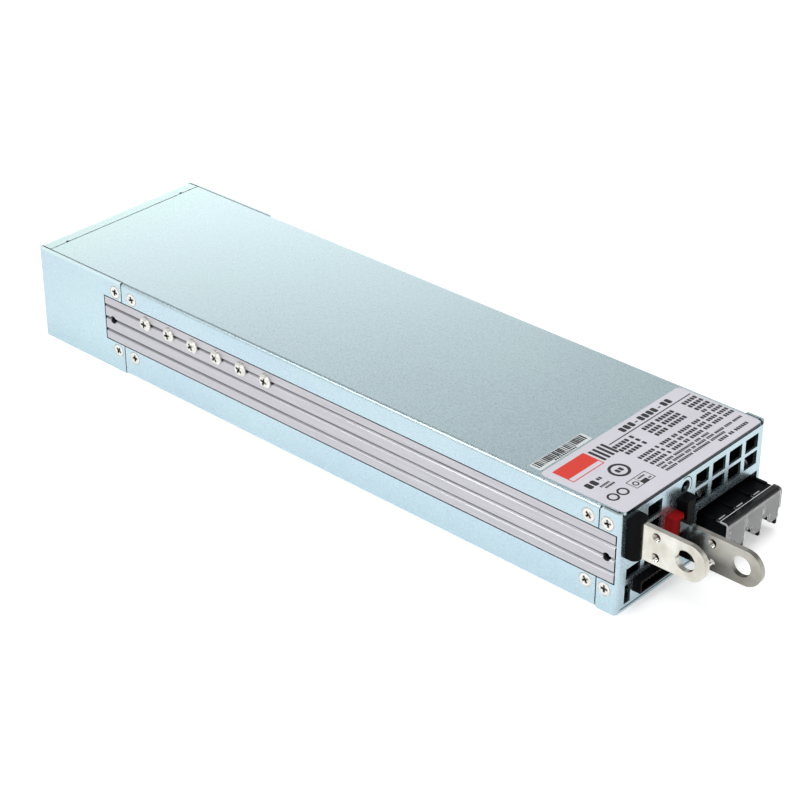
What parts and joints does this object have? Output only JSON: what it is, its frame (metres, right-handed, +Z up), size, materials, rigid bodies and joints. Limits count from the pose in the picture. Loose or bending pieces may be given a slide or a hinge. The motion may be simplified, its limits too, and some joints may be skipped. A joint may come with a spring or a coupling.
{
  "type": "switching power supply",
  "caption": "Long low enclosed switching power supply with grooved side rails, rear fans, a vented front panel, flat output bars and an input block under a flip-up clear cover.",
  "frame": {"origin": "centre of the case's bottom face", "axes": "+Z up; the front panel with bars and terminals faces -Y; +X is to the right when looking at the front"},
  "size_m": [0.0876, 0.3388, 0.0411],
  "materials": {
    "zinc_sheet": "zinc-plated steel sheet, satin with a fine mottled grain",
    "rail_aluminium": "satin extruded aluminium",
    "nickel_steel": "nickel-plated steel",
    "tinned_bar": "bright tin plating on copper",
    "gilt_pin": "gilt contact",
    "black_moulding": "satin black moulding",
    "red_moulding": "satin red moulding",
    "clear_cover": "clear moulding with a smoke tint",
    "blue_moulding": "blue moulding",
    "trimmer_white": "off-white moulding",
    "board_green": "green solder mask on glass laminate",
    "film_white": "insulating film",
    "can_black": "shrink sleeve over an aluminium can",
    "copper_winding": "enamelled copper wire",
    "ferrite": "dark ferrite",
    "tape_yellow": "yellow tape over the winding",
    "bobbin_black": "black moulding",
    "box_capacitor": "grey moulded box",
    "fuse_glass": "glass tube",
    "label_film": "satin grey film"
  },
  "bodies": {
    "case": {"bottom_tray": "zinc_sheet", "top_cover": "zinc_sheet", "front_panel": "zinc_sheet", "rear_panel": "zinc_sheet", "left_rail": "rail_aluminium", "right_rail": "rail_aluminium", "case_screws": "nickel_steel", "transistor_screws": "nickel_steel", "fan_screws": "nickel_steel", "terminal_screws": "nickel_steel", "board_screws": "nickel_steel", "transistor_nuts": "nickel_steel", "board_standoffs": "nickel_steel", "negative_busbar": "tinned_bar", "positive_busbar": "tinned_bar", "terminal_plates": "tinned_bar", "fuse_clips": "tinned_bar", "signal_pins": "gilt_pin", "negative_insulator": "black_moulding", "partition_block": "black_moulding", "terminal_block": "black_moulding", "signal_connector": "black_moulding", "left_fan_frame": "black_moulding", "right_fan_frame": "black_moulding", "power_transistors": "black_moulding", "positive_insulator": "red_moulding", "trimmer_body": "blue_moulding", "main_board": "board_green", "adjust_board": "board_green", "control_board": "board_green", "insulation_sheet": "film_white", "transistor_pads": "film_white", "output_capacitors": "can_black", "bulk_capacitors": "can_black", "output_choke": "copper_winding", "boost_choke": "copper_winding", "line_choke": "copper_winding", "fan_stators": "copper_winding", "transformer_core": "ferrite", "transformer_winding": "tape_yellow", "transformer_base": "bobbin_black", "film_capacitors": "box_capacitor", "input_fuse": "fuse_glass", "rating_label": "label_film", "barcode_label": "label_film"},
    "left_fan": {"left_fan_rotor": "black_moulding"},
    "right_fan": {"right_fan_rotor": "black_moulding"},
    "cover": {"terminal_cover": "clear_cover"},
    "trimmer": {"trimmer_rotor": "trimmer_white"}
  },
  "joints": [
    {"name": "left_fan_spin", "type": "hinge", "parent": "case", "child": "left_fan", "pos_m": [-0.02075, 0.121, 0.0205], "axis": [0, 1, 0], "continuous": true},
    {"name": "right_fan_spin", "type": "hinge", "parent": "case", "child": "right_fan", "pos_m": [0.02075, 0.121, 0.0205], "axis": [0, 1, 0], "continuous": true},
    {"name": "terminal_cover_flip", "type": "hinge", "parent": "case", "child": "cover", "pos_m": [0.0229, -0.1565, 0.0176], "axis": [-1, 0, 0], "range_deg": [0, 110]},
    {"name": "trimmer_turn", "type": "hinge", "parent": "case", "child": "trimmer", "pos_m": [-0.0055, -0.147, 0.0352], "axis": [0, -1, 0], "range_deg": [-135, 135]}
  ]
}
